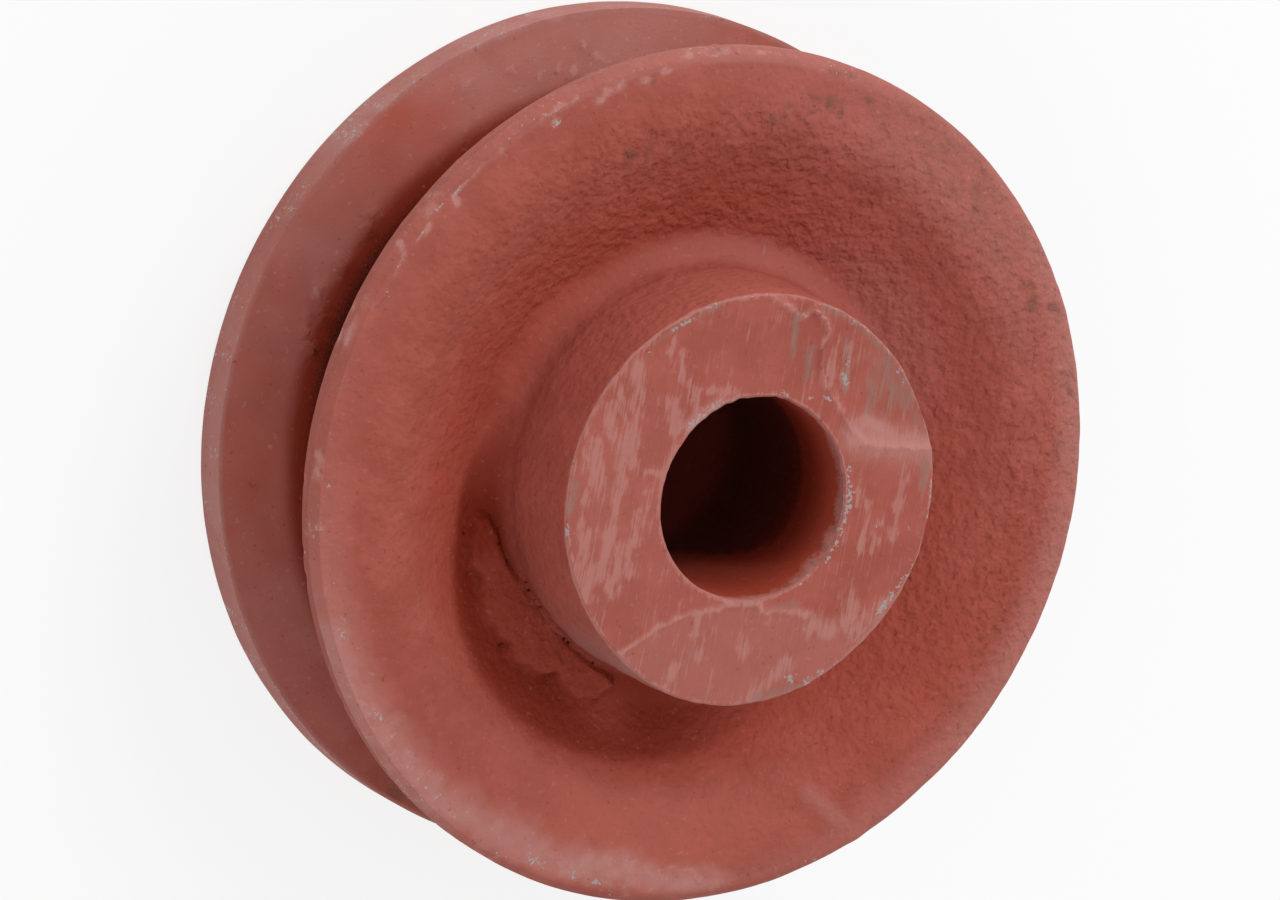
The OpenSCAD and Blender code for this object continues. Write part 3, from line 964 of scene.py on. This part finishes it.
def primer_material(finish):
    """Matt primer on cast iron: mottled, rubbed pale where it is handled and chipped to bare iron, with
    painted shade and painted highlights laid from the paint on the points.
    """
    graph = ShaderGraph("red_oxide_primer")
    place = graph.add("ShaderNodeTexCoord", output="Object")
    grain = graph.speckle(place, finish.grain_size, 1.2, 0.45)
    pock = graph.speckle(place, 0.75 * finish.grain_size, 1.5, 0.5).between(0.5, 0.78)
    dust = graph.speckle(place, 0.22 * MM, 2.0, 0.6)
    fleck = graph.speckle(place, 0.6 * MM, 1.0, 0.5)
    patch = graph.speckle(place, 2.0 * MM, 4.0, 0.65)
    blotch = graph.speckle(place, 4.5 * MM, 4.0, 0.6)
    strokes = graph.along_strokes(place, finish.stroke_turn, 30)
    streak = graph.speckle(strokes, 0.25 * MM, 2.0, 0.6)
    smear = graph.speckle(graph.along_strokes(place, finish.stroke_turn, 3.6), 0.65 * MM, 4.0, 0.65)

    painted_worn = graph.painted("worn")
    ground = graph.painted("ground")
    rough_cast = graph.painted("grain")
    cast = 1.0 - ground
    worn = (painted_worn + (patch - 0.5) * 1.5 + (dust - 0.5) * 0.5).between(0.35, 0.85) * cast
    # Dust film, with the painted highlights that share its channel
    film = (graph.painted("film") * (blotch * 0.9 + patch * 0.5 + 0.3)).clamped()
    stain_and_shade_mask = (graph.painted("stain") + (patch - 0.5) * 1.2 + (dust - 0.5) * 0.5).between(0.35, 0.95)
    chip = graph.speckle(place, 0.36 * MM, 1.0, 0.5)
    bare = graph.painted("bare") + (chip - 0.5) * 1.5 + (dust - 0.5) * 0.7 + (patch - 0.5) * 0.6
    bare = bare.between(0.56, 0.74)
    scored = (painted_worn * 0.66 + (smear - 0.5) * 1.9 + (streak - 0.5) * 1.3).between(0.14, 0.74)
    scratch = streak.between(0.6, 0.72)
    scuffed = graph.painted("scuffed") * 0.8 + (smear - 0.5) * 1.2 + (streak - 0.5) * 1.4
    scuffed = scuffed.between(0.2, 1.0)
    # Painted shade in the pocks of the sand grain
    pock_shade = rough_cast * rough_cast * pock
    pit = (graph.painted("pit") + (dust - 0.5) * 0.4).between(0.3, 0.7)

    red = graph.blend(blotch.between(0.35, 0.62), finish.primer, finish.primer_dark)
    for amount, tint in (
        (graph.painted("fresh"), finish.fresh),
        (pock_shade * 0.45, finish.sheltered),
        (graph.painted("sheltered"), finish.sheltered),
        (film * 0.8, finish.pale_tint),
        (worn * 0.7, finish.pale_tint),
        (fleck.between(0.66, 0.76) * (film * 0.6 + 0.16), finish.pale_tint),
        # Dark specks in the primer, in the colour of the painted shade
        (fleck.between(0.32, 0.2) * 0.4, finish.sheltered),
        ((scored * 0.6 + scratch * 0.12 + 0.05) * ground, finish.pale_tint),
        (scuffed * 0.7, finish.scuffed),
        (stain_and_shade_mask * 0.6, finish.stain),
        (pit * 0.9, finish.pit),
        (bare * 0.85, finish.bare),
    ):
        red = graph.blend(amount, red, tint)

    relief = grain * (rough_cast * 0.7 + 0.05) - pock * rough_cast * 0.14
    relief = relief + dust * 0.06 + streak * ground * 0.15
    bump = graph.add(
        "ShaderNodeBump", {"Strength": 1.0, "Distance": finish.relief, "Height": relief}, output="Normal"
    )
    shader = graph.add(
        "ShaderNodeBsdfPrincipled",
        {
            "Base Color": red,
            "Roughness": 0.62 - ground * 0.12 - bare * 0.22 + worn * 0.08,
            "Metallic": bare * 0.5,
            "Specular IOR Level": 0.1,
            "Normal": bump,
        },
    )
    return graph.finish(shader)


def floor_material():
    """White paper sweep that keeps the shadow."""
    graph = ShaderGraph("studio_paper")
    paper = graph.add("ShaderNodeBsdfDiffuse", {"Color": (0.86, 0.86, 0.86, 1.0)})
    white = graph.add("ShaderNodeEmission", {"Color": (1.0, 1.0, 1.0, 1.0), "Strength": 1.0})
    seen = graph.add("ShaderNodeLightPath", output="Is Camera Ray")
    mirrored = graph.add("ShaderNodeLightPath", output="Is Glossy Ray")
    through = graph.add("ShaderNodeLightPath", output="Is Transmission Ray")
    place = graph.add("ShaderNodeTexCoord", output="Object")
    away = graph.add("ShaderNodeVectorMath", {0: place}, output="Value", operation="LENGTH")
    open_paper = away.between(*SHADOW_END)
    share = (seen + mirrored + through).clamped() * open_paper * 0.8
    return graph.finish(graph.add("ShaderNodeMixShader", {0: share, 1: paper, 2: white}))


# What is done to the turned casting, in order
WORK = (
    cast_skin, shape_rim, grow_scab, grind_hub, wear_hub, chip_edges, weather_groove, rub_and_stain,
)


class PULLEY_OT_casting(bpy.types.Operator):
    """Model the primed casting: turned section, cast grain, flaws and wear"""

    bl_idname = "pulley.casting"
    bl_label = "Primed Casting"

    def execute(self, context):
        size = context.scene.pulley_section
        piece = turn_section(half_section(size), size.turn_steps)
        skin = CastingSkin(piece)
        for work in WORK:
            work(skin)
        skin.store()
        piece.data.materials.append(primer_material(context.scene.primer_finish))
        bpy.ops.object.shade_smooth_by_angle(angle=SHARP_ANGLE)
        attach(piece, "root")
        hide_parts(NODE)
        return {"FINISHED"}


def camera_axes(view):
    """Right, up and back of the picture, as vectors in the part's frame."""
    axis_up = -math.sin(view.off_axis) * math.sin(view.axis_fall)
    axis_back = math.cos(view.off_axis)
    up = Vector((0, math.sqrt(1 - axis_up ** 2), axis_up))
    back_y = -axis_back * axis_up / up.y
    back = Vector((-math.sqrt(1 - back_y ** 2 - axis_back ** 2), back_y, axis_back))
    return up.cross(back), up, back


def turned_to(axes, place):
    """World matrix of a camera or lamp at a place, with its own axes along the given ones."""
    matrix = Matrix(axes).transposed().to_4x4()
    matrix.translation = place
    return matrix


def add_camera(view):
    """The camera, turned as the picture was taken."""
    axes = camera_axes(view)
    data = bpy.data.cameras.new("picture_camera")
    data.sensor_width = SENSOR_WIDTH
    data.lens = view.lens
    data.clip_start = 0.01
    camera = bpy.data.objects.new("picture_camera", data)
    bpy.context.scene.collection.objects.link(camera)
    camera.matrix_world = turned_to(axes, Vector(view.aim) + axes[2] * view.distance)
    bpy.context.scene.camera = camera


def add_lamp(view, name, towards, distance, width, power):
    """A square soft box that faces the aim, in a direction given as right, up and back of the picture."""
    right, up, back = camera_axes(view)
    direction = (right * towards[0] + up * towards[1] + back * towards[2]).normalized()
    data = bpy.data.lights.new(name, "AREA")
    data.shape = "SQUARE"
    data.size = width
    data.energy = power
    lamp = bpy.data.objects.new(name, data)
    bpy.context.scene.collection.objects.link(lamp)
    lamp.location = Vector(view.aim) + direction * distance
    lamp.rotation_euler = (-direction).to_track_quat("-Z", "Y").to_euler()


class PULLEY_OT_studio(bpy.types.Operator):
    """Set up the paper floor, the soft boxes and the camera"""

    bl_idname = "pulley.studio"
    bl_label = "Studio"

    def execute(self, context):
        view = context.scene.studio_view
        bpy.ops.object.select_all(action="DESELECT")
        bpy.ops.mesh.primitive_plane_add(size=FLOOR_SIZE, location=(0, 0, FRAME_LOW.z))
        paper = context.object
        paper.name = "paper_floor"
        paper.data.materials.append(floor_material())
        add_camera(view)
        for lamp in SOFT_BOXES:
            add_lamp(view, *lamp)
        world = bpy.data.worlds.new("studio_room")
        world.use_nodes = True
        world.node_tree.nodes["Background"].inputs["Color"].default_value = (1, 1, 1, 1)
        world.node_tree.nodes["Background"].inputs["Strength"].default_value = ROOM_LIGHT
        context.scene.world = world
        context.scene.view_settings.view_transform = "Standard"
        return {"FINISHED"}


class PULLEY_PT_panel(bpy.types.Panel):
    """Lists the pulley's sizes, finish and steps"""

    bl_idname = "PULLEY_PT_panel"
    bl_label = "Idler Pulley"
    bl_space_type = "VIEW_3D"
    bl_region_type = "UI"
    bl_category = "Pulley"

    def draw(self, context):
        scene = context.scene
        for group in (scene.pulley_section, scene.primer_finish, scene.studio_view):
            box = self.layout.box()
            for name in group.__annotations__:
                box.prop(group, name)
        self.layout.operator(PULLEY_OT_casting.bl_idname)
        self.layout.operator(PULLEY_OT_studio.bl_idname)


CLASSES = (PulleySection, PrimerFinish, StudioView, PULLEY_OT_casting, PULLEY_OT_studio, PULLEY_PT_panel)


def register():
    for cls in CLASSES:
        bpy.utils.register_class(cls)
    bpy.types.Scene.pulley_section = PointerProperty(type=PulleySection)
    bpy.types.Scene.primer_finish = PointerProperty(type=PrimerFinish)
    bpy.types.Scene.studio_view = PointerProperty(type=StudioView)


def unregister():
    del bpy.types.Scene.studio_view
    del bpy.types.Scene.primer_finish
    del bpy.types.Scene.pulley_section
    for cls in reversed(CLASSES):
        bpy.utils.unregister_class(cls)


def main():
    register()
    bpy.ops.pulley.casting()
    bpy.ops.pulley.studio()


if __name__ == "__main__":
    main()
